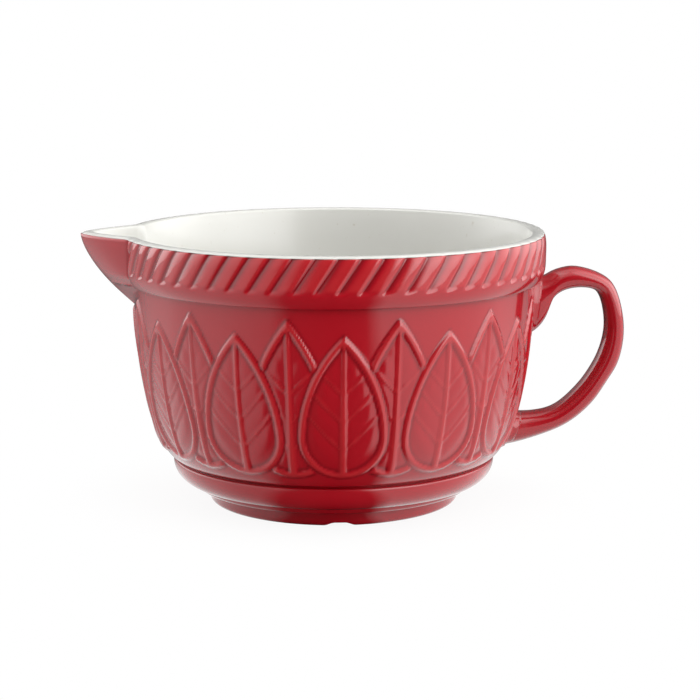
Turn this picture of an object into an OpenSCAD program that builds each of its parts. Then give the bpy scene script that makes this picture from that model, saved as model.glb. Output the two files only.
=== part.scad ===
// Batter bowl of glazed stoneware: a deep round mixing bowl with a rope band
// round the rim, an open pouring spout on one side and a loop handle on the other.
// Origin at table height, in the middle of the overall length and width. +Z is
// up, the spout points to -X and the handle to +X.

/* [Bowl] */
// Height from the table to the top of the lip
bowl_h = 131; // [120:1:142]
// Largest radius, over the rope band
rim_r = 102.1; // [94:0.1:110]
// Step from the rope band's largest radius in to the wall under it
wall_set_in = 5.9; // [5:0.1:7]
// Thickness of the clay wall at mid height, with its lining
wall_t = 5.8; // [5:0.1:6.6]
// Thickness of the clay floor, with its lining
floor_t = 8; // [7:0.5:10]
// How far the level part of the floor stays inside the base roll's radius
floor_inset = 32; // [28:1:40]
// Thickness of the white lining coat
lining_t = 0.8; // [0.5:0.1:1]
// Width of the rounded lip
lip_w = 6; // [5:0.1:6.6]
// Height of the white cover on the lip
lip_cover_h = 1.1; // [0.8:0.1:1.6]

/* [Base] */
// Largest radius of the base roll under the wall
base_r = 78; // [72:0.5:82]
// Width of the ledge that the base roll leaves outside the wall
ledge_w = 2.8; // [2:0.1:3.6]
// Depth of the crease between the wall and the base roll
ledge_groove = 0.4; // [0.2:0.1:0.8]
// Radius of the rounding on top of the base roll
ledge_round = 1.2; // [0.6:0.1:2]
// Height of the base roll
base_roll_h = 12; // [10:0.2:14]
// Radius of the flat bead under the base roll
bead_r = 67.8; // [64.5:0.1:70]
// Height of the flat bead
bead_h = 2.9; // [2:0.1:3.6]
// Outer radius of the foot ring
foot_r = 60.5; // [56:0.5:64]
// Width of the foot ring
foot_w = 9; // [6:0.5:12]
// Height of the foot ring
foot_h = 7; // [5:0.5:9]
// Size of the bevel round the bottom of the foot ring
foot_bevel = 1.6; // [0.8:0.2:2.4]
// Number of drain notches under the foot ring
notch_count = 2; // [2:1:4]
// Width of a drain notch at table height
notch_w = 13.5; // [10:0.5:18]
// Height of a drain notch
notch_h = 1.4; // [1:0.1:2]

/* [Rope band] */
// Radial thickness of the rope band on its seat
band_t = 3.9; // [3.2:0.1:4.6]
// Height of the rope band
band_h = 22.3; // [19:0.1:26]
// Number of slanted flutes round the band
flute_count = 63; // [48:1:72]
// Lean of the flutes from upright, in degrees
flute_lean = 34; // [20:1:42]
// Radius of the tool that cuts a flute
flute_tool_r = 2.4; // [2:0.1:3]
// Depth of a flute
flute_depth = 1; // [0.6:0.1:1.4]
// Height of the plain roll under the flutes
plain_roll_h = 7; // [5:0.5:9]

/* [Leaf relief] */
// Number of leaves round the wall
leaf_count = 12; // [10:1:13]
// Width of a leaf
leaf_w = 39; // [30:0.5:41]
// Space between the ledge and the bottom of a leaf
leaf_low_gap = 6.5; // [5:0.5:12]
// Space between the tip of a leaf and the rope band
leaf_top_gap = 13; // [10:0.5:20]
// How far the tip of a back leaf stands above a front leaf
back_leaf_rise = 7; // [3:0.5:9]
// Width of a leaf's raised edge
edge_w = 2.4; // [1.6:0.1:3]
// Height of the relief above the wall
relief_h = 1.1; // [0.6:0.1:1.5]
// Width of a leaf's middle rib at its foot
rib_w = 3; // [2:0.1:4]
// Number of side veins on each half of a leaf
vein_count = 3; // [2:1:4]
// Width of a side vein
vein_w = 1.2; // [0.8:0.1:1.6]
// Angle of the side veins above level, in degrees
vein_angle = 42; // [30:1:55]

/* [Spout] */
// Reach of the spout's tip beyond the rope band
spout_reach = 18.7; // [14:0.1:26]
// Half of the spout's width where it leaves the rope band
spout_half_w = 27.5; // [22:0.5:32]
// Depth of the spout's root below the lip
spout_drop = 35; // [30:0.5:38]
// Thickness of the spout's clay, with its lining
spout_t = 4.4; // [3.6:0.1:5]

/* [Handle] */
// Reach of the handle beyond the wall
handle_reach = 45.6; // [38:0.1:54]
// Space between the ledge and the bottom of the handle's lower root
handle_low_gap = 4.8; // [3:0.1:8]
// Width of the handle at its middle
handle_w = 19; // [15:0.5:23]
// Width of the slip collar round each handle root
collar_w = 2.2; // [1.5:0.1:3]
// Thickness of the slip collars on the wall
collar_t = 1.4; // [0.8:0.1:2]

/* [Hidden] */
$fn = 180;
wall_steps = 12;
inner_steps = 16;
band_steps = 14;
overrun = 1;

glaze_red = [0.62, 0.06, 0.11];
glaze_white = [0.90, 0.89, 0.86];

// Levels and radii that several pieces share
band_top_z = bowl_h - lip_cover_h;
wall_top_z = band_top_z - band_h;
wall_top_r = rim_r - wall_set_in;
seat_r = rim_r - band_t;
bead_top_z = foot_h + bead_h;
roll_top_z = bead_top_z + base_roll_h;
wall_foot_z = roll_top_z + ledge_groove;
wall_foot_r = base_r - ledge_w;
wall_rise = wall_top_z - wall_foot_z;
spout_tip_r = rim_r + spout_reach;
// The bowl's axis lies this far to the spout's side of the origin
axis_offset = (wall_top_r + handle_reach - spout_tip_r) / 2;

// How far the rope band's face falls away at its top and bottom edges
band_top_fall = 0.8;
band_low_fall = 3;
band_round_power = 3.6;
lip_out_r = rim_r - band_top_fall;
lip_in_r = lip_out_r - lip_w;
floor_z = foot_h + floor_t;
floor_r = base_r - floor_inset;

// The wall's outer curve: its two control points as shares of its run and rise
wall_curve_shares = [[0.96, 0.56], [0.61, -0.01]];
// The inner curve's two control points: the share of the outer curve's run, the
// wall thicknesses outward from there, and the share of the height above the floor
inner_curve_shares = [[0.96, -1.955, 0.6], [0.21, 2.84, 0.007]];

function mix(a, b, t) = a + (b - a) * t;
function bezier(p, t) =
    pow(1 - t, 3) * p[0] + 3 * pow(1 - t, 2) * t * p[1]
    + 3 * (1 - t) * pow(t, 2) * p[2] + pow(t, 3) * p[3];
function bezier_line(p, steps) = [for (i = [0:steps]) bezier(p, i / steps)];
function unit(v) = v / norm(v);
// Points moved sideways from a line, to the right of its direction
function moved_line(pts, d) = [
    for (i = [0:len(pts) - 1])
        let (way = unit(pts[min(i + 1, len(pts) - 1)] - pts[max(i - 1, 0)]))
        pts[i] + d * [way[1], -way[0]]
];

function wall_control(share) = [
    mix(wall_foot_r, wall_top_r, share[0]),
    wall_foot_z + wall_rise * share[1]
];
wall_controls = [
    [wall_foot_r, wall_foot_z],
    wall_control(wall_curve_shares[1]),
    wall_control(wall_curve_shares[0]),
    [wall_top_r, wall_top_z]
];
wall_line = bezier_line(wall_controls, wall_steps);

function inner_control(share) = [
    mix(wall_foot_r, wall_top_r, share[0]) + wall_t * share[1],
    mix(floor_z, bowl_h, share[2])
];
inner_controls = [
    [floor_r, floor_z],
    inner_control(inner_curve_shares[1]),
    inner_control(inner_curve_shares[0]),
    [lip_in_r, bowl_h]
];
inner_line = bezier_line(inner_controls, inner_steps);
lining_line = moved_line(inner_line, lining_t);

// Outer line of the base, from the foot ring's seat up to the ledge's groove
function oval_point(x, z, half_w, half_h, a) = [x + half_w * cos(a), z + half_h * sin(a)];
ledge_mid_z = roll_top_z - ledge_round;
base_line = concat(
    [[0, foot_h], [bead_r - bead_h, foot_h]],
    [for (a = [-60:30:0]) oval_point(bead_r - bead_h, bead_top_z, bead_h, bead_h, a)],
    [for (a = [-80:16:0]) oval_point(bead_r, ledge_mid_z, base_r - bead_r, base_roll_h - ledge_round, a)],
    [for (a = [30:30:90]) oval_point(base_r - ledge_round, ledge_mid_z, ledge_round, ledge_round, a)],
    [[wall_foot_r, roll_top_z]]
);

// Radius of the rope band's face at a height
band_mid_share = 0.6;
band_mid_z = mix(wall_top_z, band_top_z, band_mid_share);
function band_face_r(z) = z > band_mid_z
    ? rim_r - band_top_fall * pow((z - band_mid_z) / (band_top_z - band_mid_z), band_round_power)
    : rim_r - band_low_fall * pow((band_mid_z - z) / (band_mid_z - wall_top_z), band_round_power);
band_levels = [for (i = [0:band_steps]) mix(wall_top_z, band_top_z, i / band_steps)];
band_face = [for (z = band_levels) [band_face_r(z), z]];

module turned(pts) {
    rotate_extrude() polygon(pts);
}

// The clay from the foot ring's seat to the lip, before it is hollowed
module wall_blank() {
    turned(concat(base_line, wall_line, [[seat_r, wall_top_z], [seat_r, band_top_z], [0, band_top_z]]));
}

module band_blank() {
    turned(concat([[seat_r, wall_top_z]], band_face, [[seat_r, band_top_z]]));
}

// What the handle, the spout and the slip collars stop against
module outside_blank() {
    wall_blank();
    band_blank();
}

// The space inside a line, open at the top
module hollow(line) {
    last = line[len(line) - 1];
    turned(concat([[0, line[0][1]]], line, [[last[0], bowl_h + overrun], [0, bowl_h + overrun]]));
}

// The spout is a stack of level sections. Each is a blunt prow with its flanks
// on the wall and its nose on the keel line. The same prow, drawn in by a
// distance, gives the inner face of the clay and the face of the lining.
prow_levels = 10;
prow_steps = 12;
keel_power = 1.55;
flank_power = 1.3;
nose_round_shares = [0.5, 0.12];
flank_min_share = 0.02;
shoulder_end_share = 0.5;
draw_in_factors = [1.5, 1, 2];

spout_low_z = bowl_h - spout_drop;
band_start_share = (wall_top_z - spout_low_z) / (band_top_z - spout_low_z);
clay_in = spout_t - lining_t;

function ramp(t, a, b) = let (s = min(1, max(0, (t - a) / (b - a)))) s * s * (3 - 2 * s);
function shoulder_r(t) = mix(wall_top_r, lip_out_r, ramp(t, band_start_share, shoulder_end_share));
function nose_share(u, k) = 1 - (sqrt(u * u + k * k) - k) / (sqrt(1 + k * k) - k);
function flank(t, drawn_in) =
    (spout_half_w - drawn_in * draw_in_factors[1])
    * pow(min(1, max(t, flank_min_share) / band_start_share), flank_power);
function prow_z(t, drawn_in) = mix(spout_low_z + drawn_in * draw_in_factors[2], band_top_z, t);
function nose(t, z, drawn_in) =
    let (
        half = flank(t, drawn_in),
        flank_x = sqrt(pow(shoulder_r(t), 2) - pow(half, 2)),
        tip_r = spout_tip_r - drawn_in * draw_in_factors[0],
        tip_x = wall_top_r + (tip_r - wall_top_r) * (1 - pow(1 - t, keel_power)),
        k = mix(nose_round_shares[0], nose_round_shares[1], t)
    )
    [for (i = [0:prow_steps])
        let (u = 2 * i / prow_steps - 1)
        [-flank_x - (tip_x - flank_x) * nose_share(u, k), half * u, z]];
// A prow section whose flanks run straight back to a radius
function prow_section(t, z, drawn_in, back_r) =
    let (half = flank(t, drawn_in), back_x = sqrt(pow(back_r, 2) - pow(half, 2)))
    concat([[-back_x, -half, z]], nose(t, z, drawn_in), [[-back_x, half, z]]);

function seat_radius(z) = z < wall_top_z ? lookup(z, [for (p = wall_line) [p[1], p[0]]]) : seat_r;
function lining_radius(z) = lookup(z, [for (p = lining_line) [p[1], p[0]]]);

// Closed solid through a stack of closed rings with equally many points
module skin(rings) {
    count = len(rings[0]);
    last = len(rings) - 1;
    polyhedron(points = [for (ring = rings) for (p = ring) p], faces = concat(
        [[for (i = [count - 1:-1:0]) i]],
        [for (j = [0:last - 1]) for (i = [0:count - 1])
            let (a = j * count + i, b = j * count + (i + 1) % count)
            [a, b, a + count]],
        [for (j = [0:last - 1]) for (i = [0:count - 1])
            let (a = j * count + i, b = j * count + (i + 1) % count)
            [b, b + count, a + count]],
        [[for (i = [0:count - 1]) last * count + i]]
    ));
}

// Closed trough between two stacks of open sections, an outer and an inner
module trough(outer, inner) {
    count = len(outer[0]);
    last = len(outer) - 1;
    size = count * (last + 1);
    rows = [for (j = [0:last - 1]) j * count];
    steps = [for (i = [0:count - 2]) i];
    polyhedron(points = [for (ring = concat(outer, inner)) for (p = ring) p], faces = concat(
        [for (r = rows) for (i = steps) let (a = r + i) [a, a + 1, a + count]],
        [for (r = rows) for (i = steps) let (a = r + i) [a + 1, a + count + 1, a + count]],
        [for (r = rows) for (i = steps) let (a = size + r + i) [a, a + count, a + 1]],
        [for (r = rows) for (i = steps) let (a = size + r + i) [a + 1, a + count, a + count + 1]],
        [for (i = steps) [i, i + size, i + 1]],
        [for (i = steps) [i + 1, i + size, i + size + 1]],
        [for (i = steps) let (a = last * count + i) [a, a + 1, a + size]],
        [for (i = steps) let (a = last * count + i) [a + 1, a + size + 1, a + size]],
        [for (r = rows) [r, r + count, r + size]],
        [for (r = rows) [r + count, r + count + size, r + size]],
        [for (r = rows) let (a = r + count - 1) [a, a + size, a + count]],
        [for (r = rows) let (a = r + count - 1) [a + count, a + size, a + count + size]]
    ));
}

prow_shares = [for (j = [0:prow_levels]) j / prow_levels];

// The opening that the channel needs in the wall, drawn in from the spout's outside
module mouth_cut(drawn_in) {
    top = flank(1, drawn_in);
    side = [for (t = prow_shares) [flank(t, drawn_in), prow_z(t, drawn_in)]];
    translate([-rim_r - overrun, 0, 0])
        rotate([90, 0, 90])
            linear_extrude(height = rim_r / 2)
                polygon(concat(
                    side,
                    [[top, bowl_h + overrun], [-top, bowl_h + overrun]],
                    [for (i = [len(side) - 1:-1:0]) [-side[i][0], side[i][1]]]
                ));
}

module bowl_body() {
    color(glaze_red)
        difference() {
            wall_blank();
            hollow(lining_line);
            mouth_cut(clay_in);
        }
}

notch_tool_r = (pow(notch_w / 2, 2) + pow(notch_h, 2)) / (2 * notch_h);

module foot_ring() {
    color(glaze_red)
        difference() {
            turned([
                [foot_r - foot_w, 0],
                [foot_r - foot_bevel, 0],
                [foot_r, foot_bevel],
                [foot_r, foot_h],
                [foot_r - foot_w, foot_h]
            ]);
            for (i = [0:notch_count - 1])
                rotate([0, 0, -90 + i * 360 / notch_count])
                    translate([foot_r - foot_w - overrun, 0, notch_h - notch_tool_r])
                        rotate([0, 90, 0])
                            cylinder(r = notch_tool_r, h = foot_w + 2 * overrun);
        }
}

flute_low_z = wall_top_z + plain_roll_h;
flute_length = (band_top_z - flute_low_z) / cos(flute_lean) + overrun;

module rope_band() {
    color(glaze_red)
        difference() {
            band_blank();
            translate([-rim_r - overrun, -spout_half_w, wall_top_z - overrun])
                cube([rim_r, 2 * spout_half_w, band_h + 2 * overrun]);
            for (i = [0:flute_count - 1])
                rotate([0, 0, i * 360 / flute_count])
                    translate([rim_r + flute_tool_r - flute_depth, 0, flute_low_z])
                        rotate([-flute_lean, 0, 0])
                            cylinder(r = flute_tool_r, h = flute_length, $fn = 32);
        }
}

// A leaf lies in its own flat frame, X across and Y up, and is cut from a thin
// turned shell over the wall, so that it is as high everywhere.
leaf_low_z = wall_foot_z + leaf_low_gap;
leaf_tip_z = wall_top_z - leaf_top_gap;
belly_r = leaf_w / 2;
belly_z = leaf_low_z + belly_r;
function flank_arc_r(tip_z) = (pow(tip_z - belly_z, 2) + pow(belly_r, 2)) / (2 * belly_r);

// Outline of a leaf, drawn in from its edge by a distance
module leaf_outline(tip_z, drawn_in) {
    arc_r = flank_arc_r(tip_z);
    translate([0, belly_z]) {
        intersection() {
            translate([belly_r - arc_r, 0]) circle(r = arc_r - drawn_in);
            translate([arc_r - belly_r, 0]) circle(r = arc_r - drawn_in);
            translate([-leaf_w, 0]) square([2 * leaf_w, 2 * arc_r]);
        }
        circle(r = belly_r - drawn_in);
    }
}

module leaf_edge(tip_z) {
    difference() {
        leaf_outline(tip_z, 0);
        leaf_outline(tip_z, edge_w);
    }
}

rib_tip_share = 0.3;
vein_reach_share = 0.62;
vein_length = belly_r * vein_reach_share / cos(vein_angle);
function vein_place(i) = i / (vein_count + 2);

module leaf_rib() {
    polygon([
        [-rib_w / 2, leaf_low_z + edge_w / 2],
        [rib_w / 2, leaf_low_z + edge_w / 2],
        [rib_w * rib_tip_share / 2, leaf_tip_z - edge_w],
        [-rib_w * rib_tip_share / 2, leaf_tip_z - edge_w]
    ]);
}

module leaf_veins() {
    for (side = [-1, 1])
        for (i = [1:vein_count])
            translate([0, mix(leaf_low_z, leaf_tip_z, vein_place(i))])
                rotate(side > 0 ? vein_angle : 180 - vein_angle)
                    translate([0, -vein_w / 2])
                        square([vein_length * (1 - vein_place(i) / 2), vein_w]);
}

// A flat figure thrown outward onto the wall at an angle round the axis
module on_wall(angle) {
    rotate([0, 0, angle])
        rotate([90, 0, 90])
            translate([0, 0, wall_foot_r / 2])
                linear_extrude(height = rim_r) children();
}

module relief_shell() {
    turned(concat(wall_line, [for (i = [len(wall_line) - 1:-1:0]) moved_line(wall_line, relief_h)[i]]));
}

module leaf_relief() {
    color(glaze_red)
        difference() {
            for (i = [0:leaf_count - 1]) {
                intersection() {
                    relief_shell();
                    on_wall(i * 360 / leaf_count) {
                        leaf_edge(leaf_tip_z);
                        leaf_rib();
                        leaf_veins();
                    }
                }
                intersection() {
                    relief_shell();
                    difference() {
                        on_wall((i + 0.5) * 360 / leaf_count) leaf_edge(leaf_tip_z + back_leaf_rise);
                        on_wall(i * 360 / leaf_count) leaf_outline(leaf_tip_z, -edge_w / 2);
                        on_wall((i + 1) * 360 / leaf_count) leaf_outline(leaf_tip_z, -edge_w / 2);
                    }
                }
            }
            handle_root(upper_root, collar_w);
            handle_root(lower_root, collar_w);
        }
}

module pouring_spout() {
    color(glaze_red)
        trough(
            [for (t = prow_shares) let (z = prow_z(t, 0)) prow_section(t, z, 0, seat_radius(z))],
            [for (t = prow_shares) let (z = prow_z(t, clay_in)) prow_section(t, z, clay_in, seat_radius(z))]
        );
}

// The handle's outer and inner lines in the plane of the spout and handle, from
// the upper root to the lower. Each row holds the outer point and the inner point
// as shares of the reach and of the height, and the share of the width.
handle_line_shares = [
    [[-0.18, 0.93], [-0.18, 0.60], 1.20],
    [[0.10, 0.94], [0.00, 0.62], 1.15],
    [[0.21, 0.97], [0.14, 0.70], 1.05],
    [[0.32, 0.99], [0.20, 0.81], 1.00],
    [[0.48, 1.00], [0.36, 0.87], 0.98],
    [[0.73, 0.96], [0.58, 0.88], 0.98],
    [[0.90, 0.88], [0.73, 0.84], 1.00],
    [[1.00, 0.66], [0.80, 0.67], 1.00],
    [[0.95, 0.46], [0.75, 0.52], 1.00],
    [[0.82, 0.34], [0.64, 0.40], 1.00],
    [[0.66, 0.21], [0.50, 0.30], 1.00],
    [[0.39, 0.09], [0.27, 0.19], 1.02],
    [[0.06, 0.02], [0.02, 0.16], 1.08],
    [[-0.22, -0.02], [-0.18, 0.16], 1.20],
    [[-0.49, -0.04], [-0.40, 0.15], 1.25]
];
handle_low_z = wall_foot_z + handle_low_gap;
handle_top_share = 1.06;
handle_top_z = mix(handle_low_z, wall_top_z, handle_top_share);
handle_substeps = 4;
handle_sides = 20;
handle_square_power = 0.86;

function handle_point(share) = [
    wall_top_r + share[0] * handle_reach,
    mix(handle_low_z, handle_top_z, share[1])
];
// Smooth value between rows a and b, with their neighbours before and after
function smooth_row(before, a, b, after, t) =
    a + (b - before) / 2 * t
    + (2 * before - 5 * a + 4 * b - after) / 2 * t * t
    + (3 * a - before - 3 * b + after) / 2 * t * t * t;
function row(k) = handle_line_shares[min(max(k, 0), len(handle_line_shares) - 1)];
function row_at(k, t) = [
    for (part = [0:2])
        smooth_row(row(k - 1)[part], row(k)[part], row(k + 1)[part], row(k + 2)[part], t)
];
function soft(v) = sign(v) * pow(abs(v), handle_square_power);
function handle_ring(r) =
    let (
        outer = handle_point(r[0]),
        inner = handle_point(r[1]),
        mid = (outer + inner) / 2,
        arm = (outer - inner) / 2
    )
    [for (i = [0:handle_sides - 1])
        let (a = 360 * i / handle_sides, p = mid + arm * soft(cos(a)))
        [p[0], soft(sin(a)) * r[2] * handle_w / 2, p[1]]];

module handle_blank() {
    rows = len(handle_line_shares) - 1;
    skin(concat(
        [for (k = [0:rows - 1])
            for (j = [0:handle_substeps - 1])
                handle_ring(row_at(k, j / handle_substeps))],
        [handle_ring(row_at(rows - 1, 1))]
    ));
}

module loop_handle() {
    color(glaze_red)
        difference() {
            handle_blank();
            outside_blank();
        }
}

// Rows of the handle's table where it meets the wall
upper_root = 1;
lower_root = 13;

// A level oval bar along X round one handle root, wider by a margin
module handle_root(k, margin) {
    outer = handle_point(row(k)[0]);
    inner = handle_point(row(k)[1]);
    half_h = (outer[1] - inner[1]) / 2;
    half_w = row(k)[2] * handle_w / 2 + margin;
    translate([wall_foot_r / 2, 0, (outer[1] + inner[1]) / 2])
        rotate([90, 0, 90])
            linear_extrude(height = rim_r)
                scale([half_w / (abs(half_h) + margin), 1])
                    circle(r = abs(half_h) + margin);
}

module collar_shell() {
    turned(concat(wall_line, [for (i = [len(wall_line) - 1:-1:0]) moved_line(wall_line, collar_t)[i]]));
}

module slip_joint(k) {
    difference() {
        intersection() {
            collar_shell();
            handle_root(k, collar_w);
        }
        handle_blank();
    }
}

module upper_slip_joint() {
    color(glaze_red) slip_joint(upper_root);
}

module lower_slip_joint() {
    color(glaze_red) slip_joint(lower_root);
}

// Rounded white cover along the rim, level with the clay below it
module lip_cover() {
    rotate_extrude()
        translate([(lip_in_r + lip_out_r) / 2, band_top_z])
            intersection() {
                scale([lip_w / 2 / lip_cover_h, 1]) circle(r = lip_cover_h);
                translate([-lip_w, 0]) square([2 * lip_w, lip_w]);
            }
}

module hollow_coat() {
    difference() {
        turned(concat([[0, lining_line[0][1]]], lining_line, [[lip_in_r, band_top_z], [0, band_top_z]]));
        hollow(inner_line);
    }
}

module white_lining() {
    color(glaze_white) {
        difference() {
            hollow_coat();
            mouth_cut(clay_in);
        }
        difference() {
            lip_cover();
            mouth_cut(lining_t);
        }
    }
}

function channel_section(t, drawn_in) =
    let (z = prow_z(t, drawn_in)) prow_section(t, z, drawn_in, lining_radius(z));

// The coat on the channel, from the bowl's inside to the tip, with its own lip
module spout_lining() {
    lip_mid_z = (band_top_z + bowl_h) / 2;
    color(glaze_white)
        trough(
            concat(
                [for (t = prow_shares) channel_section(t, clay_in)],
                [for (z = [band_top_z, bowl_h]) prow_section(1, z, lining_t, lip_in_r)]
            ),
            concat(
                [for (t = prow_shares) channel_section(t, spout_t)],
                [for (z = [lip_mid_z, bowl_h]) prow_section(1, z, spout_t, lip_in_r)]
            )
        );
}

// The object in its place about the origin
module placed() {
    translate([-axis_offset, 0, 0]) children();
}

placed() bowl_body();
placed() foot_ring();
placed() rope_band();
placed() leaf_relief();
placed() pouring_spout();
placed() loop_handle();
placed() upper_slip_joint();
placed() lower_slip_joint();
placed() white_lining();
placed() spout_lining();
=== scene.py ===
import math

import bmesh
import bpy
from mathutils import Matrix, Vector


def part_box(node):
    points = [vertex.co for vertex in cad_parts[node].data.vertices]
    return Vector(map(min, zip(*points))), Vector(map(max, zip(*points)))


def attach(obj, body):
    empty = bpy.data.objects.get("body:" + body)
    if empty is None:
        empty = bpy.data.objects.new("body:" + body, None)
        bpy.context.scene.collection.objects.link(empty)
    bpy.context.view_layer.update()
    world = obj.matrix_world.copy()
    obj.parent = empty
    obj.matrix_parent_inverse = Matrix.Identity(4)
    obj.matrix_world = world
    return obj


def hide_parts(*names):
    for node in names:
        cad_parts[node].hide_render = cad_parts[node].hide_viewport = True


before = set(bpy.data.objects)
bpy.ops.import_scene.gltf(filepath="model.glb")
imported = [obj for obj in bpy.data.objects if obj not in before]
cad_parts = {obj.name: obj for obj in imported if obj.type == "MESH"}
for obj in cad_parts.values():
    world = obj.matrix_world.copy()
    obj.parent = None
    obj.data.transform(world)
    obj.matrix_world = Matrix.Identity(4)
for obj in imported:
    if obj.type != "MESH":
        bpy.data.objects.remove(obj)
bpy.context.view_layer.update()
print("frame loaded")

# Everything is worked out in millimetres and made metres as each mesh is finished.
mm = 0.001


def boxMm(node, axisX=0.0):
    low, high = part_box(node)
    shift = Vector((axisX, 0, 0))
    return Vector(low) / mm - shift, Vector(high) / mm - shift


footLow, footHigh = boxMm("foot_ring")
axisX = (footLow.x + footHigh.x) / 2  # the bowl's axis in the frame
bandLow, bandHigh = boxMm("rope_band", axisX)
spoutLow, spoutHigh = boxMm("pouring_spout", axisX)
rimR = bandHigh.x
wallTopZ = bandLow.z
bandTopZ = bandHigh.z
seatR = boxMm("bowl_body")[1].y
footR = footHigh.y
footH = footHigh.z
lipTopZ = boxMm("white_lining")[1].z

bowl = {
    "wallSetIn": 5.9,  # from the rim band's face in to the wall's top
    "wallT": 5.8,
    "wallShares": ((0.61, -0.01), (0.96, 0.56)),  # radius and height of the curve's two handles
    "innerShares": ((0.21, 2.84, 0.007), (0.96, -1.955, 0.6)),  # radius, wall thicknesses and height
    "baseR": 78.0,
    "ledgeW": 2.8,
    "ledgeRound": 1.2,
    "crease": 0.4,
    "shadeTop": 1.6,  # height of the painted shade, partly pooled glaze, under the band
    # height of the painted shade, partly pooled glaze, over the ledge
    "shadeFoot": 2.0,
    "beadR": 67.8,
    "beadH": 2.9,
    "beadIn": 6.0,
    "rollH": 12.0,
    "grooveW": 1.1,
    "grooveH": 1.0,
    "floorR": 46.0,
    "floorT": 8.0,
    "floorEdge": 60.0,  # the coat lies flat inside this radius
    "coat": 0.8,
    "lipW": 6.0,
    "lipSetIn": 0.8,
    "lipStep": 1.2,  # from the lip's inner edge out to the clay under it
    "columns": 640,
    "rowStep": 1.1,
    "seatStep": 1.3,
    "backEvery": 5,  # every fifth row is enough behind the lining
}
wallTopR = rimR - bowl["wallSetIn"]
beadTopZ = footH + bowl["beadH"]
rollTopZ = beadTopZ + bowl["rollH"]
wallFootZ = rollTopZ + bowl["crease"]
wallFootR = bowl["baseR"] - bowl["ledgeW"]
floorZ = footH + bowl["floorT"]


def mix(a, b, t):
    return a + (b - a) * t


def smooth(a, b, x):
    t = min(1.0, max(0.0, (x - a) / (b - a)))
    return t * t * (3 - 2 * t)


def bezier(p, t):
    s = 1 - t
    w = (s * s * s, 3 * s * s * t, 3 * s * t * t, t * t * t)
    return (sum(k * q[0] for k, q in zip(w, p)), sum(k * q[1] for k, q in zip(w, p)))


def evenLine(p, step):
    # points along a curve, about one step apart
    fine = [bezier(p, i / 400) for i in range(401)]
    along = [0.0]
    for a, b in zip(fine, fine[1:]):
        along.append(along[-1] + math.dist(a, b))
    count = max(2, round(along[-1] / step))
    line, k = [], 0
    for i in range(count + 1):
        target = along[-1] * i / count
        while k < 399 and along[k + 1] < target:
            k += 1
        part = (target - along[k]) / max(1e-9, along[k + 1] - along[k])
        line.append((mix(fine[k][0], fine[k + 1][0], part), mix(fine[k][1], fine[k + 1][1], part)))
    return line


def arc(centre, radiusX, radiusZ, start, end, count):
    # points round part of an oval, angles in degrees
    line = []
    for i in range(count + 1):
        a = math.radians(mix(start, end, i / count))
        line.append((centre[0] + radiusX * math.cos(a), centre[1] + radiusZ * math.sin(a)))
    return line


def straight(a, b, step):
    count = max(1, round(math.dist(a, b) / step))
    return [(mix(a[0], b[0], i / count), mix(a[1], b[1], i / count)) for i in range(count + 1)]


wallCurve = [(wallFootR, wallFootZ)]
wallCurve += [(mix(wallFootR, wallTopR, r), mix(wallFootZ, wallTopZ, z)) for r, z in bowl["wallShares"]]
wallCurve += [(wallTopR, wallTopZ)]
lipOutR = rimR - bowl["lipSetIn"]
lipInR = lipOutR - bowl["lipW"]
topInR = lipInR + bowl["lipStep"]
innerCurve = [(bowl["floorR"], floorZ)]
for r, walls, z in bowl["innerShares"]:
    innerCurve.append((mix(wallFootR, wallTopR, r) + bowl["wallT"] * walls, mix(floorZ, lipTopZ, z)))
innerCurve.append((lipInR, lipTopZ))


def lineRadius(line, z):
    for a, b in zip(line, line[1:]):
        if a[1] <= z <= b[1]:
            return mix(a[0], b[0], (z - a[1]) / max(1e-9, b[1] - a[1]))
    return line[-1][0] if z > line[-1][1] else line[0][0]


innerLine = evenLine(innerCurve, 2.0)


def hiddenLine(gap, belowZ, every):
    # the back of the lining, from the rim down to the bowl's axis
    flat = bowl["coat"]
    line = []
    for r, z in reversed(innerLine):
        if z < belowZ:
            line.append((r + gap, z - (flat if r < bowl["floorEdge"] else 0.0)))
    kept = [p for i, p in enumerate(line) if i % every == 0 or i == len(line) - 1]
    return kept + [(0.0, floorZ - flat)]


# The spout is a push outward of the rim, by an amount that depends on the
# angle from the spout and on the height. drawnIn gives its inner faces.
spout = {
    "tipR": -spoutLow.x,
    "halfW": spoutHigh.y,
    "lowZ": spoutLow.z,
    "t": 4.4,
    "noseRound": (0.5, 0.12),
    "keelPower": 1.55,
    "flankPower": 1.3,
    "innerFall": 0.24,
    "outerFall": 0.05,
    "lipFall": 0.001,
    "shoulderShare": 0.5,
    "tipDraw": 1.5,
}
bandShare = (wallTopZ - spout["lowZ"]) / (bandTopZ - spout["lowZ"])


def noseShare(q, k):
    return 1 - (math.sqrt(q * q + k * k) - k) / (math.sqrt(1 + k * k) - k)


def spoutRadius(turn, z, drawnIn, faceR, fall):
    # radius of the spout's face at an angle from the spout, or faceR beside it
    low = spout["lowZ"] + 2 * drawnIn
    t = min(1.0, (z - low) / (bandTopZ - low))
    if t <= 0:
        return faceR
    reachW = (spout["halfW"] - drawnIn) * min(1.0, t / bandShare) ** spout["flankPower"]
    shoulder = mix(wallTopR, lipOutR, smooth(bandShare, spout["shoulderShare"], t)) - drawnIn
    q = abs(turn) / math.asin(reachW / lipOutR)
    if q >= 1 + fall:
        return faceR
    if q >= 1:
        return mix(shoulder, faceR, smooth(0, 1, (q - 1) / fall))
    tipTopR = spout["tipR"] - spout["tipDraw"] * drawnIn
    tip = mix(wallTopR - drawnIn, tipTopR, 1 - (1 - t) ** spout["keelPower"])
    k = mix(spout["noseRound"][0], spout["noseRound"][1], t)
    return shoulder + (tip - shoulder) * noseShare(q, k)


def turnFromSpout(angle):
    return math.remainder(angle - math.pi, 2 * math.pi)


sectors = 16


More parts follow.
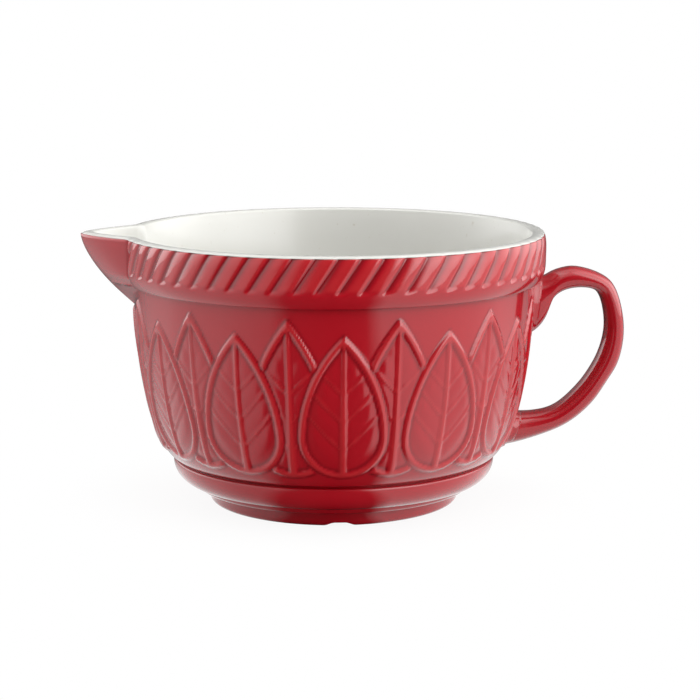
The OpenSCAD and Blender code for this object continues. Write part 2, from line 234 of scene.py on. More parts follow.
def spinProfile(line, columns, start=0.0, sweep=2 * math.pi):
    # One sector is spun and the rest are copies of it, as a full spin is slow.
    # Each vertex keeps the number of its profile point.
    bm = bmesh.new()
    number = bm.verts.layers.int.new("number")
    # glaze tone per vertex: above 0 thin glaze and painted highlight, below 0 pooled glaze and painted shade
    thin = bm.verts.layers.float.new("thin")
    points = []
    for i, (r, z) in enumerate(line):
        v = bm.verts.new((r, 0.0, z))
        v[number] = i
        points.append(v)
    edges = [bm.edges.new(pair) for pair in zip(points, points[1:] + points[:1])]
    bmesh.ops.rotate(bm, verts=points, cent=(0, 0, 0), matrix=Matrix.Rotation(start, 3, "Z"))
    bmesh.ops.spin(bm, geom=points + edges, cent=(0, 0, 0), axis=(0, 0, 1), dvec=(0, 0, 0),
                   angle=sweep / sectors, steps=columns // sectors, use_merge=False,
                   use_normal_flip=False, use_duplicate=False)
    sector = bm.verts[:] + bm.edges[:] + bm.faces[:]
    for k in range(1, sectors):
        copy = bmesh.ops.duplicate(bm, geom=sector)["geom"]
        turned = [item for item in copy if isinstance(item, bmesh.types.BMVert)]
        bmesh.ops.rotate(bm, verts=turned, cent=(0, 0, 0), matrix=Matrix.Rotation(sweep / sectors * k, 3, "Z"))
    bmesh.ops.remove_doubles(bm, verts=bm.verts, dist=1e-3)
    openEdges = [e for e in bm.edges if e.is_boundary]
    if openEdges:
        bmesh.ops.holes_fill(bm, edges=openEdges, sides=0)
    return bm, number, thin


def place(v, angle, r, z):
    v.co = Vector((r * math.cos(angle), r * math.sin(angle), z))


def finishPiece(bm, name, materials, nodes):
    bmesh.ops.recalc_face_normals(bm, faces=bm.faces)
    bmesh.ops.translate(bm, vec=(axisX, 0, 0), verts=bm.verts)
    bmesh.ops.scale(bm, vec=(mm, mm, mm), verts=bm.verts)
    mesh = bpy.data.meshes.new(name)
    for face in bm.faces:
        face.smooth = True
    bm.to_mesh(mesh)
    bm.free()
    piece = bpy.data.objects.new(name, mesh)
    bpy.context.scene.collection.objects.link(piece)
    for material in materials:
        mesh.materials.append(material)
    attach(piece, "root")
    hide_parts(*nodes)
    print(name, len(mesh.polygons), "faces")


class Wire:
    # a node socket that can be used in sums
    def __init__(self, shader, socket):
        self.shader = shader
        self.socket = socket

    def maths(self, operation, other, swap=False):
        values = [other, self] if swap else [self, other]
        return self.shader.node("ShaderNodeMath", values, operation=operation)

    def __add__(self, other):
        return self.maths("ADD", other)

    __radd__ = __add__

    def __sub__(self, other):
        return self.maths("SUBTRACT", other)

    def __rsub__(self, other):
        return self.maths("SUBTRACT", other, swap=True)

    def __mul__(self, other):
        return self.maths("MULTIPLY", other)

    __rmul__ = __mul__

    def __truediv__(self, other):
        return self.maths("DIVIDE", other)


class Shader:
    def __init__(self, tree):
        self.tree = tree
        tree.nodes.clear()

    def node(self, kind, inputs=(), output=0, **settings):
        item = self.tree.nodes.new(kind)
        stops = settings.pop("stops", None)
        for key, value in settings.items():
            setattr(item, key, value)
        if stops:
            ramp = item.color_ramp
            while len(ramp.elements) < len(stops):
                ramp.elements.new(0.5)
            for element, (at, colour) in zip(ramp.elements, stops):
                element.position = at
                element.color = colour
        pairs = inputs.items() if isinstance(inputs, dict) else enumerate(inputs)
        for key, value in pairs:
            if isinstance(value, Wire):
                self.tree.links.new(value.socket, item.inputs[key])
            elif value is not None:
                item.inputs[key].default_value = value
        return Wire(self, item.outputs[output]) if item.outputs else None

    def mixColour(self, factor, a, b):
        return self.node("ShaderNodeMix", {0: factor, 6: a, 7: b}, output=2, data_type="RGBA")


def rgb(red, green, blue):
    # a colour as it shows on screen, made linear
    def linear(c):
        c = c / 255
        return c / 12.92 if c <= 0.04045 else ((c + 0.055) / 1.055) ** 2.4
    return (linear(red), linear(green), linear(blue), 1.0)


def newMaterial(name):
    material = bpy.data.materials.new(name)
    material.use_nodes = True
    return material, Shader(material.node_tree)


def noise(s, place3d, scale, detail, roughness):
    sizes = {"Vector": place3d, "Scale": scale, "Detail": detail, "Roughness": roughness}
    return s.node("ShaderNodeTexNoise", sizes)


# The noises are scale, detail and roughness, the bumps strength and distance.
redLook = {
    "body": rgb(180, 17, 32),
    "deep": rgb(160, 10, 24),
    "thin": rgb(204, 52, 54),  # lighter on ridges: thinner glaze and painted highlight
    "pooledAndShaded": rgb(120, 6, 18),  # darker in grooves, creases and under the band: pooled glaze and painted shade
    "cloud": (28.0, 4.0, 0.55),
    "speck": (900.0, 2.0, 0.5),
    "ripple": (60.0, 3.0, 0.5),
    "bump": (0.06, 0.0006),
    "roughness": 0.22,
    "coatRoughness": 0.04,
}


def redGlaze():
    material, s = newMaterial("redGlaze")
    place3d = s.node("ShaderNodeTexCoord", output=3)
    thin = s.node("ShaderNodeAttribute", output=2, attribute_name="thin")
    cloud = noise(s, place3d, *redLook["cloud"])
    speck = noise(s, place3d, *redLook["speck"])
    colour = s.mixColour(cloud * 0.5 + 0.1, redLook["body"], redLook["deep"])
    # lighter where the glaze is thin on ridges, darker where it pools: real glaze tone, and also painted highlight
    # and painted shade
    colour = s.mixColour(thin.maths("MAXIMUM", 0.0) * 0.4, colour, redLook["thin"])
    colour = s.mixColour((thin * -1.0).maths("MAXIMUM", 0.0) * 0.7, colour, redLook["pooledAndShaded"])
    colour = s.mixColour((speck - 0.62) * 1.2, colour, redLook["deep"])
    ripple = noise(s, place3d, *redLook["ripple"])
    strength, distance = redLook["bump"]
    height = ripple + speck * 0.04
    bump = s.node("ShaderNodeBump", {"Strength": strength, "Distance": distance, "Height": height})
    roughness = cloud * 0.06 + (redLook["roughness"] - 0.03)
    shade = s.node("ShaderNodeBsdfPrincipled", {
        "Base Color": colour, "Roughness": roughness, "Normal": bump, "IOR": 1.5, "Specular IOR Level": 0.2,
        "Coat Weight": 1.0, "Coat Roughness": redLook["coatRoughness"], "Coat IOR": 1.58,
    })
    s.node("ShaderNodeOutputMaterial", {"Surface": shade})
    return material


whiteLook = {
    "body": rgb(214, 214, 210),
    "shade": rgb(207, 206, 200),
    "fleck": rgb(186, 178, 164),
    "cloud": (14.0, 3.0, 0.5),
    "flecks": (420.0, 1.0, 0.4),
    "ripple": (45.0, 2.0, 0.5),
    "bump": (0.05, 0.0006),
    "roughness": 0.14,
    "coatRoughness": 0.08,
}


def whiteGlaze():
    material, s = newMaterial("whiteGlaze")
    place3d = s.node("ShaderNodeTexCoord", output=3)
    cloud = noise(s, place3d, *whiteLook["cloud"])
    flecks = noise(s, place3d, *whiteLook["flecks"])
    colour = s.mixColour(cloud, whiteLook["body"], whiteLook["shade"])
    colour = s.mixColour(((flecks - 0.72) * 4.0).maths("MAXIMUM", 0.0), colour, whiteLook["fleck"])
    ripple = noise(s, place3d, *whiteLook["ripple"])
    strength, distance = whiteLook["bump"]
    bump = s.node("ShaderNodeBump", {"Strength": strength, "Distance": distance, "Height": ripple})
    shade = s.node("ShaderNodeBsdfPrincipled", {
        "Base Color": colour, "Roughness": cloud * 0.08 + whiteLook["roughness"], "Normal": bump, "IOR": 1.5,
        "Coat Weight": 0.2, "Coat Roughness": whiteLook["coatRoughness"],
    })
    s.node("ShaderNodeOutputMaterial", {"Surface": shade})
    return material


clayLook = {
    "body": rgb(222, 208, 186),
    "grain": rgb(188, 168, 140),
    "grains": (700.0, 4.0, 0.7),
    "bump": (0.4, 0.0003),
    "roughness": 0.7,
}


def bareClay():
    material, s = newMaterial("bareClay")
    place3d = s.node("ShaderNodeTexCoord", output=3)
    grains = noise(s, place3d, *clayLook["grains"])
    colour = s.mixColour(grains, clayLook["body"], clayLook["grain"])
    strength, distance = clayLook["bump"]
    bump = s.node("ShaderNodeBump", {"Strength": strength, "Distance": distance, "Height": grains})
    shade = s.node("ShaderNodeBsdfPrincipled", {
        "Base Color": colour, "Roughness": grains * 0.2 + clayLook["roughness"], "Normal": bump, "IOR": 1.45,
    })
    s.node("ShaderNodeOutputMaterial", {"Surface": shade})
    return material


red = redGlaze()
white = whiteGlaze()
clay = bareClay()
print("glazes made")


def lineNormals(line):
    # outward unit normals along a profile that runs from the base upward
    normals = []
    for i in range(len(line)):
        a, b = line[max(0, i - 1)], line[min(len(line) - 1, i + 1)]
        size = math.dist(a, b) or 1.0
        normals.append(((b[1] - a[1]) / size, -(b[0] - a[0]) / size))
    return normals


leaf = {
    "count": 12,
    "width": 39.0,
    "lowGap": 6.5,
    "topGap": 13.0,
    "backRise": 7.0,  # how much higher the leaves behind stand
    "edge": 2.4,
    "relief": 1.1,
    "rib": 3.0,
    "ribTaper": 0.3,
    "veins": 3,
    "veinAngle": math.radians(42),
    "veinBend": 0.012,
    "veinShare": 0.75,  # heights as shares of the relief
    "pillowShare": 0.8,
    "pillowW": 5.0,
    "lobeHalf": 4.4,
    "clearance": 2.2,  # bare wall round a handle root
}
leafLowZ = wallFootZ + leaf["lowGap"]
leafTipZ = wallTopZ - leaf["topGap"]
bellyR = leaf["width"] / 2
bellyZ = leafLowZ + bellyR


def insideLeaf(x, z, tipZ):
    # distance in from a leaf's outline, negative outside it
    flankR = ((tipZ - bellyZ) ** 2 + bellyR ** 2) / (2 * bellyR)
    if z >= bellyZ:
        return flankR - math.hypot(abs(x) + flankR - bellyR, z - bellyZ)
    return bellyR - math.hypot(x, z - bellyZ)


def leafSurface(x, z, tipZ):
    # share of the full relief height on a leaf, and the tone there: 1 thin glaze with painted highlight, -1 pooled
    # glaze with painted shade
    d = insideLeaf(x, z, tipZ)
    # just outside the outline: pooled glaze and painted shade at the foot of the raised edge
    if d < -0.5:
        return 0.0, -smooth(-2.2, -0.6, d)
    edge = leaf["edge"]
    rim = smooth(-0.45, 0.5, d) * (1 - smooth(edge - 0.5, edge + 0.5, d))
    up = (z - leafLowZ) / (tipZ - leafLowZ)
    ribHalf = mix(leaf["rib"], leaf["rib"] * leaf["ribTaper"], up) / 2
    rib = (1 - smooth(ribHalf - 0.35, ribHalf + 0.5, abs(x))) * smooth(0.5, 1.2, d)
    slope = leaf["veinAngle"]
    vein = lobe = 0.0
    for i in range(leaf["veins"] + 2):
        rootZ = mix(leafLowZ, leafTipZ, i / (leaf["veins"] + 2))
        away = (z - rootZ - leaf["veinBend"] * x * x) * math.cos(slope) - abs(x) * math.sin(slope)
        fade = smooth(edge + 0.2, edge + 2.5, d)
        if 0 < i <= leaf["veins"]:
            vein = max(vein, (1 - smooth(0.25, 0.8, abs(away))) * fade)
        lobe = max(lobe, math.cos(min(1.0, abs(away - leaf["lobeHalf"]) / leaf["lobeHalf"]) * math.pi / 2))
    pillow = smooth(edge, edge + leaf["pillowW"], d) * (1 - math.exp(-abs(x) / 2.2)) * (0.25 + 0.4 * lobe)
    ridge = max(rim, rib, leaf["veinShare"] * vein)
    # a strip just inside the raised edge is darkened: pooled glaze and painted shade
    pooledAndShaded = smooth(edge - 0.2, edge + 0.5, d) * (1 - smooth(edge + 0.6, edge + 2.4, d))
    return max(ridge, pillow * leaf["pillowShare"]), ridge - pooledAndShaded * (1 - ridge)


def reliefAt(angle, r, z):
    pitch = 2 * math.pi / leaf["count"]
    local = math.remainder(angle, pitch)
    behind = local - math.copysign(pitch / 2, local)
    x = r * math.sin(local)
    front = insideLeaf(x, z, leafTipZ)
    height, tone = leafSurface(x, z, leafTipZ)
    if front < -0.4:
        shown = 1 - smooth(-1.8, -0.9, front)
        backHeight, backTone = leafSurface(r * math.sin(behind), z, leafTipZ + leaf["backRise"])
        height = max(height, backHeight * shown)
        tone = mix(tone, backTone, shown)
    return height, tone


# Where the handle meets the wall.
roots = {
    "upper": {"z": 93.9, "halfH": 13.7, "halfW": 11.0},
    "lower": {"z": 32.9, "halfH": 7.7, "halfW": 11.4},
}


def clearOfRoots(angle, r, z):
    # 0 on a handle root, 1 well clear of both
    y = r * math.sin(angle)
    if math.cos(angle) < 0:
        return 1.0
    clear = 1.0
    for root in roots.values():
        halfW, halfH = root["halfW"] + leaf["clearance"], root["halfH"] + leaf["clearance"]
        reach = math.hypot(y / halfW, (z - root["z"]) / halfH)
        clear = min(clear, smooth(0.98, 1.22, reach))
    return clear


def makeWall():
    # clay wall, base roll and bead, relief and spout in one glazed skin
    beadH, ledge, coat = bowl["beadH"], bowl["ledgeRound"], bowl["coat"]
    beadInR = bowl["beadR"] - beadH
    base = [(0.0, footH), (beadInR - bowl["beadIn"], footH), (beadInR, footH)]
    base += arc((beadInR, beadTopZ), beadH, beadH, -60, 0, 4)
    base += arc((bowl["beadR"], rollTopZ - ledge), bowl["baseR"] - bowl["beadR"], bowl["rollH"] - ledge, -80, 0, 14)
    base += arc((bowl["baseR"] - ledge, rollTopZ - ledge), ledge, ledge, 20, 90, 4)
    grooveW, grooveH = bowl["grooveW"], bowl["grooveH"]
    base += arc((wallFootR + grooveW, rollTopZ + grooveH), grooveW, grooveH, 270, 190, 4)
    wall = [p for p in evenLine(wallCurve, bowl["rowStep"]) if p[1] > rollTopZ + 1.2]
    seat = [(seatR, wallTopZ)] + straight((seatR, wallTopZ + 0.6), (seatR, bandTopZ), bowl["seatStep"])
    top = [(mix(seatR, topInR, i / 2), bandTopZ) for i in (1, 2)]
    back = hiddenLine(coat * 0.9, bandTopZ - 1.5, bowl["backEvery"])
    line = base + wall + seat + top + back
    roles = ["base"] * len(base) + ["wall"] * len(wall) + ["seat"] * len(seat)
    roles += ["top"] * len(top) + ["back"] * len(back)
    normals = lineNormals(line)
    bm, number, thin = spinProfile(line, bowl["columns"])
    for v in bm.verts:
        i = v[number]
        r0, z = line[i]
        role = roles[i]
        if r0 < 0.01 or role == "base":
            continue
        angle = math.atan2(v.co.y, v.co.x)
        turn = turnFromSpout(angle)
        if role == "wall":
            height, tone = 0.0, 0.0
            if leafLowZ - 1 < z < leafTipZ + leaf["backRise"] + 1:
                height, tone = reliefAt(angle, r0, z)
                clear = clearOfRoots(angle, r0, z)
                height, tone = height * clear, tone * clear
            # painted shade, partly pooled glaze, under the band's overhang and in the crease over the ledge
            underBand = smooth(wallTopZ - bowl["shadeTop"], wallTopZ, z)
            overLedge = 0.5 - 0.5 * smooth(wallFootZ, wallFootZ + bowl["shadeFoot"], z)
            v[thin] = tone - max(underBand, overLedge)
            r = r0 + normals[i][0] * height * leaf["relief"]
            z = z + normals[i][1] * height * leaf["relief"]
            r = spoutRadius(turn, z, 0.0, r, spout["outerFall"])
        elif role == "seat":
            r = spoutRadius(turn, z, 0.0, r0, spout["outerFall"])
        elif role == "top":
            outer = spoutRadius(turn, z, 0.0, seatR, spout["outerFall"])
            inner = spoutRadius(turn, z, spout["t"] - 2 * coat, topInR, spout["innerFall"])
            r = mix(outer, inner, (seatR - r0) / (seatR - topInR))
        else:
            r = spoutRadius(turn, z, spout["t"] - 2 * coat, r0 + 0.6, spout["innerFall"])
        place(v, angle, r, z)
    finishPiece(bm, "clayWall", [red], ["bowl_body", "leaf_relief", "pouring_spout"])


flute = {
    "count": 63,
    "lean": math.radians(34),
    "depth": 1.15,
    "plainH": 7.0,
    "crest": 0.76,  # where the crest stands in its pitch
    "slopePowers": (1.9, 1.5),
}
fluteLowZ = wallTopZ + flute["plainH"]


def fluteDepth(angle, z):
    # how far the band's face lies below the crest of its flutes
    pitch = 2 * math.pi / flute["count"]
    drift = (z - fluteLowZ) * math.tan(flute["lean"]) / rimR
    u = ((angle - drift) / pitch) % 1.0
    if u < flute["crest"]:
        drop = (1 - u / flute["crest"]) ** flute["slopePowers"][0]
    else:
        drop = ((u - flute["crest"]) / (1 - flute["crest"])) ** flute["slopePowers"][1]
    return flute["depth"] * drop


band = {
    "rows": 40,
    "midShare": 0.6,  # height of its widest place
    "topIn": 0.8,
    "footIn": 3.0,
    "facePower": 3.6,
    "endShare": 1.02,  # where it stops beside the spout
    "endTurn": 0.028,
    "endIn": 2.2,
    "leanTurn": 0.25,
}


def bandFaceR(z):
    mid = mix(wallTopZ, bandTopZ, band["midShare"])
    if z > mid:
        return rimR - band["topIn"] * ((z - mid) / (bandTopZ - mid)) ** band["facePower"]
    return rimR - band["footIn"] * ((mid - z) / (mid - wallTopZ)) ** band["facePower"]


def makeBand():
    heights = [mix(wallTopZ, bandTopZ, i / band["rows"]) for i in range(band["rows"] + 1)]
    face = [(bandFaceR(z), z) for z in heights]
    line = [(seatR, wallTopZ)] + face + [(seatR, bandTopZ)]
    endTurn = math.asin(spout["halfW"] / lipOutR) * band["endShare"]
    columns = flute["count"] * sectors
    bm, number, thin = spinProfile(line, columns, start=-math.pi + endTurn, sweep=2 * (math.pi - endTurn))
    for v in bm.verts:
        i = v[number]
        if i == 0 or i == len(line) - 1:
            continue
        r, z = line[i]
        angle = math.atan2(v.co.y, v.co.x)
        # columns follow the lean of the flutes, but not at the band's two ends
        fromEnd = math.pi - endTurn - abs(angle)
        lean = smooth(0.0, band["leanTurn"], fromEnd) * (z - fluteLowZ) * math.tan(flute["lean"]) / rimR
        if z > fluteLowZ - 2:
            angle += lean * smooth(fluteLowZ - 2, fluteLowZ, z)
        endRound = 1 - smooth(0.0, band["endTurn"], fromEnd)
        cutIn = fluteDepth(angle, z) * smooth(fluteLowZ - 1.4, fluteLowZ + 0.9, z)
        # flute crests lighter and grooves darker: thin and pooled glaze, and also painted highlight and painted
        # shade
        v[thin] = (1 - 2 * smooth(0.1, 0.85, cutIn / flute["depth"])) * smooth(fluteLowZ, fluteLowZ + 2, z)
        place(v, angle, r - cutIn - band["endIn"] * endRound, z)
    finishPiece(bm, "ropeBand", [red], ["rope_band"])


lining = {
    "columns": 720,
    "lipRows": 16,
    "backEvery": 3,
    "overSpoutIn": 0.8,
    "waveShare": 0.45,  # how much of the flutes shows in the lip's outer edge
}


def makeLining():
    lipMid = (lipInR + lipOutR) / 2
    inner = [(0.0, floorZ)] + [p for p in innerLine if p[1] < bandTopZ - 1.2]
    lip = arc((lipMid, bandTopZ), bowl["lipW"] / 2, lipTopZ - bandTopZ, 180, 0, lining["lipRows"])
    under = [(mix(lipOutR, lipInR + 1.0, i / 3), bandTopZ - 0.02) for i in (1, 2, 3)]
    coat = bowl["coat"]
    back = hiddenLine(coat, bandTopZ - 2, lining["backEvery"])
    line = inner + lip + under + back
    roles = ["inner"] * len(inner) + ["lip"] * len(lip) + ["under"] * len(under) + ["back"] * len(back)
    bm, number, thin = spinProfile(line, lining["columns"])
    for v in bm.verts:
        i = v[number]
        r0, z = line[i]
        if r0 < 0.01:
            continue
        angle = math.atan2(v.co.y, v.co.x)
        turn = turnFromSpout(angle)
        role = roles[i]
        if role == "inner":
            r = spoutRadius(turn, z, spout["t"], r0, spout["innerFall"])
        elif role == "back":
            r = spoutRadius(turn, z, spout["t"] - coat * 0.9, r0, spout["innerFall"])
        else:
            part = (r0 - lipInR) / (lipOutR - lipInR)
            nearer = spoutRadius(turn, bandTopZ, spout["t"], lipInR, spout["innerFall"])
            outer = spoutRadius(turn, bandTopZ, 0.0, lipOutR, spout["lipFall"])
            outer -= lining["overSpoutIn"] * smooth(0.4, 2.5, outer - lipOutR)
            besideSpout = 1 - smooth(0.4, 2.5, outer - lipOutR)
            wave = fluteDepth(angle, bandTopZ) * lining["waveShare"] * besideSpout
            r = mix(nearer, outer - wave, part)
        place(v, angle, r, z)
    finishPiece(bm, "whiteLining", [white], ["white_lining", "spout_lining"])


foot = {
    "width": 9.0,
    "innerBevel": 1.0,
    "outerBevel": 1.9,
    "notchW": 13.5,
    "notchH": 1.4,
    "columns": 640,
}


def makeFoot():
    inR, inner, outer = footR - foot["width"], foot["innerBevel"], foot["outerBevel"]
    line = straight((inR, footH), (inR, inner), 1.5)
    line += arc((inR + inner, inner), inner, inner, 200, 270, 3)
    line += straight((inR + inner + 0.4, 0.0), (footR - outer - 0.7, 0.0), 1.2)
    line += arc((footR - outer, outer), outer, outer, 275, 360, 6)
    line += straight((footR, outer + 0.5), (footR, footH), 0.8)
    bm, number, thin = spinProfile(line, foot["columns"])
    for v in bm.verts:
        z = v.co.z
        across = abs(v.co.x) / (foot["notchW"] / 2)
        if z < foot["notchH"] + 1.2 and across < 1.25:
            lift = foot["notchH"] * (1 - smooth(0.35, 1.2, across))
            v.co.z = max(z, lift + z * 0.25)
    for face in bm.faces:
        middle = face.calc_center_median()
        away = math.hypot(middle.x, middle.y)
        if middle.z < outer and inR + 0.6 < away < footR - 1.5:
            face.material_index = 1  # bare clay where the ring stands
    finishPiece(bm, "footRing", [red, clay], ["foot_ring"])


handle = {
    "reach": 45.6,
    "rootRise": 4.8,
    "topShare": 1.06,
    "width": 19.0,
    "squareness": 0.86,
    "bury": 2.4,  # how deep the ends lie in the clay
    "rings": 130,
    "sides": 48,
    "samples": 200,
    "evenings": 30,
    # outer point, inner point and width, as shares, from the upper root down
    "line": [
        ((-0.18, 0.93), (-0.18, 0.60), 1.20),
        ((0.10, 0.94), (0.00, 0.62), 1.15),
        ((0.21, 0.97), (0.14, 0.70), 1.05),
        ((0.32, 0.99), (0.20, 0.81), 1.00),
        ((0.48, 1.00), (0.36, 0.87), 0.98),
        ((0.73, 0.96), (0.58, 0.88), 0.98),
        ((0.90, 0.88), (0.73, 0.84), 1.00),
        ((1.00, 0.66), (0.80, 0.67), 1.00),
        ((0.95, 0.46), (0.75, 0.52), 1.00),
        ((0.82, 0.34), (0.64, 0.40), 1.00),
        ((0.66, 0.21), (0.50, 0.30), 1.00),
        ((0.39, 0.09), (0.27, 0.19), 1.02),
        ((0.06, 0.02), (0.02, 0.16), 1.08),
        ((-0.22, -0.02), (-0.18, 0.16), 1.20),
        ((-0.49, -0.04), (-0.40, 0.15), 1.25),
    ],
}


handleLowZ = wallFootZ + handle["rootRise"]
handleTopZ = mix(handleLowZ, wallTopZ, handle["topShare"])


def tableRow(s):
    # outer point, inner point and half width at a place along the handle, 0 to 1
    rows = handle["line"]
    at = s * (len(rows) - 1)
    k = min(int(at), len(rows) - 2)
    t = at - k
    near = [rows[min(max(k + d, 0), len(rows) - 1)] for d in (-1, 0, 1, 2)]

    def blend(values):
        a, b, c, d = values
        return b + (c - a) / 2 * t + (2 * a - 5 * b + 4 * c - d) / 2 * t * t + (3 * b - a - 3 * c + d) / 2 * t ** 3

    def point(part):
        x = blend([row[part][0] for row in near])
        z = blend([row[part][1] for row in near])
        return wallTopR + x * handle["reach"], mix(handleLowZ, handleTopZ, z)

    return point(0), point(1), blend([row[2] for row in near]) * handle["width"] / 2


def evened(rows):
    # the table's small wobbles worked out, with the ends held
    for _ in range(handle["evenings"]):
        rows = [rows[0]] + [(a + 2 * b + c) / 4 for a, b, c in zip(rows, rows[1:], rows[2:])] + [rows[-1]]
    return rows


samples = handle["samples"]
handleRows = [tableRow(i / samples) for i in range(samples + 1)]
handleOuter = evened([Vector(row[0]) for row in handleRows])
handleInner = evened([Vector(row[1]) for row in handleRows])
handleHalfW = evened([row[2] for row in handleRows])


def handleRow(s):
    at = s * samples
    k = min(samples - 1, int(at))
    t = at - k
    return [mix(values[k], values[k + 1], t) for values in (handleOuter, handleInner, handleHalfW)]


def handlePoint(s, a):
    outer, inner, halfW = handleRow(s)
    along, across = math.cos(a), math.sin(a)
    along = math.copysign(abs(along) ** handle["squareness"], along)
    across = math.copysign(abs(across) ** handle["squareness"], across)
    x = (outer[0] + inner[0]) / 2 + (outer[0] - inner[0]) / 2 * along
    z = (outer[1] + inner[1]) / 2 + (outer[1] - inner[1]) / 2 * along
    return Vector((x, across * halfW, z))


outerWallLine = evenLine(wallCurve, 1.0)


def faceRadius(z):
    # the outside of the bowl that the handle meets
    if z >= wallTopZ:
        return bandFaceR(z)
    return lineRadius(outerWallLine, z)


def makeHandle():
    bm = bmesh.new()
    bm.verts.layers.float.new("thin")
    bmesh.ops.create_grid(bm, x_segments=handle["rings"], y_segments=handle["sides"], size=0.5)
    for v in bm.verts:
        s, a = v.co.x + 0.5, (v.co.y + 0.5) * 2 * math.pi
        v.co = handlePoint(s, a)
        buried = faceRadius(min(v.co.z, wallTopZ - 0.1)) - handle["bury"]
        flat = Vector((v.co.x, v.co.y))
        if flat.length < buried:  # the ends stop inside the clay
            flat *= buried / flat.length
            v.co.x, v.co.y = flat
    bmesh.ops.remove_doubles(bm, verts=bm.verts, dist=1e-3)
    bmesh.ops.holes_fill(bm, edges=[e for e in bm.edges if e.is_boundary], sides=0)
    finishPiece(bm, "loopHandle", [red], ["loop_handle"])


slip = {
    "around": 96,
    "across": 8,
    "leg": 5.0,
    "spread": 3.0,
    "bite": 0.15,
    "sunk": 2.0,
    "searchSteps": 400,
    "handleLength": 170.0,
}


def makeSlip(name, node, fromStart):
    # a fillet of slip from the handle's surface onto the wall, all round one root
    bm = bmesh.new()
    bm.verts.layers.float.new("thin")
    across = slip["across"]
    steps = [i / slip["searchSteps"] for i in range(slip["searchSteps"] + 1)]
    if not fromStart:
        steps = [1 - t for t in steps]
    step = slip["leg"] / slip["handleLength"] * (1 if fromStart else -1)
    bmesh.ops.create_grid(bm, x_segments=slip["around"], y_segments=across + 2, size=0.5)
    for v in bm.verts:
        a = (v.co.x + 0.5) * 2 * math.pi
        part = (v.co.y + 0.5) * (across + 2)
        for s in steps:
            corner = handlePoint(s, a)
            if math.hypot(corner.x, corner.y) > faceRadius(corner.z):
                break
        onHandle = handlePoint(min(1.0, max(0.0, s + step)), a)
        middle = (handlePoint(s, 0) + handlePoint(s, math.pi)) / 2
        out = Vector((0.0, corner.y - middle.y, corner.z - middle.z)).normalized() * slip["spread"]
        target = corner + out
        r = faceRadius(target.z) - slip["bite"]
        onWall = Vector((math.sqrt(max(1.0, r * r - target.y ** 2)), target.y, target.z))
        sunk = Vector((corner.x - slip["sunk"], corner.y * 0.9, corner.z))
        if part <= across:
            t = part / across
            v.co = (1 - t) ** 2 * onHandle + 2 * t * (1 - t) * corner + t * t * onWall
        elif part <= across + 1:
            v.co = sunk
        else:
            v.co = onHandle
    bmesh.ops.remove_doubles(bm, verts=bm.verts, dist=1e-3)
    finishPiece(bm, name, [red], [node])


makeWall()
makeBand()
makeLining()
makeFoot()
makeHandle()
makeSlip("upperSlip", "upper_slip_joint", fromStart=True)
makeSlip("lowerSlip", "lower_slip_joint", fromStart=False)
print("pieces made")

camera = {
    "turn": math.radians(-3.2),
    "tilt": math.radians(10.12),
    "distance": 1.0,
    "aim": (0.008, 0.0, 0.0721),
    "lens": 105.9,
}
facing = Matrix.Rotation(camera["turn"], 3, "Z")
bowlAxis = Vector((axisX * mm, 0.0, 0.0))


def makeCamera():
    data = bpy.data.cameras.new("camera")
    data.lens = camera["lens"]
    data.sensor_width = 36.0
    data.clip_start = 0.05
    data.clip_end = 20.0
    item = bpy.data.objects.new("camera", data)
    bpy.context.scene.collection.objects.link(item)
    aim = facing @ Vector(camera["aim"]) + bowlAxis
    away = facing @ Vector((0.0, -math.cos(camera["tilt"]), math.sin(camera["tilt"])))
    item.location = aim + away * camera["distance"]
    item.rotation_euler = (aim - item.location).to_track_quat("-Z", "Y").to_euler()
    bpy.context.scene.camera = item


# Brightness of the studio round the bowl, by the angle from the camera's side.
# Minus is the left hand.
studio = {
    "round": [(-180, 0.1), (-158, 0.3), (-138, 1.8), (-112, 2.6), (-85, 1.5), (-42, 0.85), (-24, 0.12), (0, 0.03),
              (20, 0.15), (32, 3.2), (60, 3.5), (80, 2.4), (105, 3.0), (132, 1.8), (150, 0.3), (180, 0.1)],
    "up": [(-90, 0.3), (0, 0.8), (15, 1.0), (45, 0.9), (60, 0.4), (90, 0.3)],
    "floor": [(-180, 0.03), (-140, 0.2), (-100, 1.0), (-60, 0.95), (-32, 0.6), (-22, 0.05), (0, 0.0), (17, 0.03),
              (25, 1.0), (60, 1.0), (100, 1.0), (130, 0.4), (155, 0.05), (180, 0.03)],
    "brightest": 3.6,
    "overhead": 1.0,
    "overheadFrom": 0.6,
}


def levels(table, low, high, top):
    # ramp stops from a table of angles and brightnesses
    return [((a - low) / (high - low), (b / top, b / top, b / top, 1.0)) for a, b in table]


def angleRound(s, way):
    # 0 to 1 round the bowl, with 0.5 towards the camera
    x = s.node("ShaderNodeSeparateXYZ", [way], output=0)
    y = s.node("ShaderNodeSeparateXYZ", [way], output=1)
    return x.maths("ARCTAN2", y * -1.0) / (2 * math.pi) + 0.5


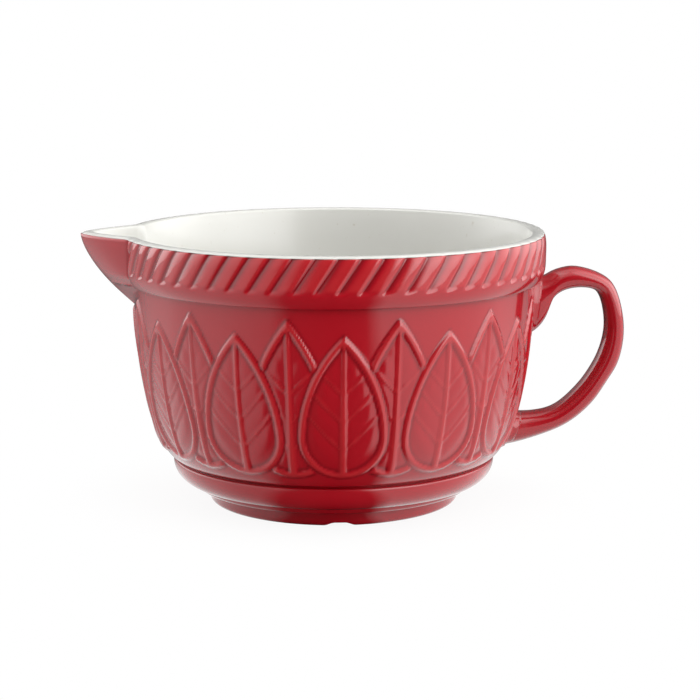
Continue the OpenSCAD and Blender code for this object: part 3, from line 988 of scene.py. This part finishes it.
def makeWorld():
    world = bpy.data.worlds.new("studio")
    bpy.context.scene.world = world
    world.use_nodes = True
    s = Shader(world.node_tree)
    way = s.node("ShaderNodeTexCoord", output=0)
    way = s.node("ShaderNodeVectorRotate", {"Vector": way, "Angle": -camera["turn"]}, rotation_type="Z_AXIS")
    z = s.node("ShaderNodeSeparateXYZ", [way], output=2)
    rise = z.maths("ARCSINE", 0.0) / math.pi + 0.5
    top = studio["brightest"]
    around = s.node("ShaderNodeValToRGB", [angleRound(s, way)], stops=levels(studio["round"], -180, 180, top))
    up = s.node("ShaderNodeValToRGB", [rise], stops=levels(studio["up"], -90, 90, 1.0))
    above = s.node("ShaderNodeMapRange", [z, studio["overheadFrom"], 0.95, 0.0, studio["overhead"]],
                   interpolation_type="SMOOTHSTEP")
    seen = s.node("ShaderNodeLightPath", output=0)
    level = around * up * top + above
    level = level * (1.0 - seen) + seen  # plain white behind the bowl
    light = s.node("ShaderNodeBackground", {"Color": (1.0, 1.0, 1.0, 1.0), "Strength": level})
    s.node("ShaderNodeOutputWorld", {"Surface": light})


floorLook = {
    "radius": 3.0,
    "pale": (0.9, 0.9, 0.9, 1.0),
    "grey": (0.5, 0.5, 0.5, 1.0),
    "white": (1.0, 1.0, 1.0, 1.0),
    "fade": (0.07, 0.15, 0.92, 1.0),  # from this far to this far out, from this to this share of white
}


def makeFloor():
    # white to the camera with a soft shadow, shaded by side in the glaze's reflections
    bm = bmesh.new()
    bmesh.ops.create_circle(bm, cap_ends=True, segments=96, radius=floorLook["radius"])
    mesh = bpy.data.meshes.new("floor")
    bm.to_mesh(mesh)
    bm.free()
    floor = bpy.data.objects.new("floor", mesh)
    bpy.context.scene.collection.objects.link(floor)
    material, s = newMaterial("paleFloor")
    way = s.node("ShaderNodeTexCoord", output=3)
    way = s.node("ShaderNodeVectorMath", [way, tuple(-c for c in bowlAxis)], operation="ADD")
    way = s.node("ShaderNodeVectorRotate", {"Vector": way, "Angle": -camera["turn"]}, rotation_type="Z_AXIS")
    away = s.node("ShaderNodeVectorMath", [way], output=1, operation="LENGTH")
    around = s.node("ShaderNodeValToRGB", [angleRound(s, way)], stops=levels(studio["floor"], -180, 180, 1.0))
    seen = s.node("ShaderNodeLightPath", output=0)
    mirrored = s.node("ShaderNodeLightPath", output=3)
    grey = s.node("ShaderNodeBsdfDiffuse", {"Color": floorLook["grey"]})
    pale = s.node("ShaderNodeBsdfDiffuse", {"Color": floorLook["pale"]})
    glow = s.node("ShaderNodeEmission", {"Color": around, "Strength": 1.0})
    bright = s.node("ShaderNodeEmission", {"Color": floorLook["white"], "Strength": 1.0})
    fade = s.node("ShaderNodeMapRange", [away, *floorLook["fade"]], interpolation_type="SMOOTHSTEP")
    shown = s.node("ShaderNodeMixShader", [fade, pale, bright])
    unseen = s.node("ShaderNodeMixShader", [mirrored, grey, glow])
    both = s.node("ShaderNodeMixShader", [seen, unseen, shown])
    s.node("ShaderNodeOutputMaterial", {"Surface": both})
    mesh.materials.append(material)


makeCamera()
makeWorld()
makeFloor()
bpy.context.scene.view_settings.view_transform = "Standard"
print("camera, light and floor made")
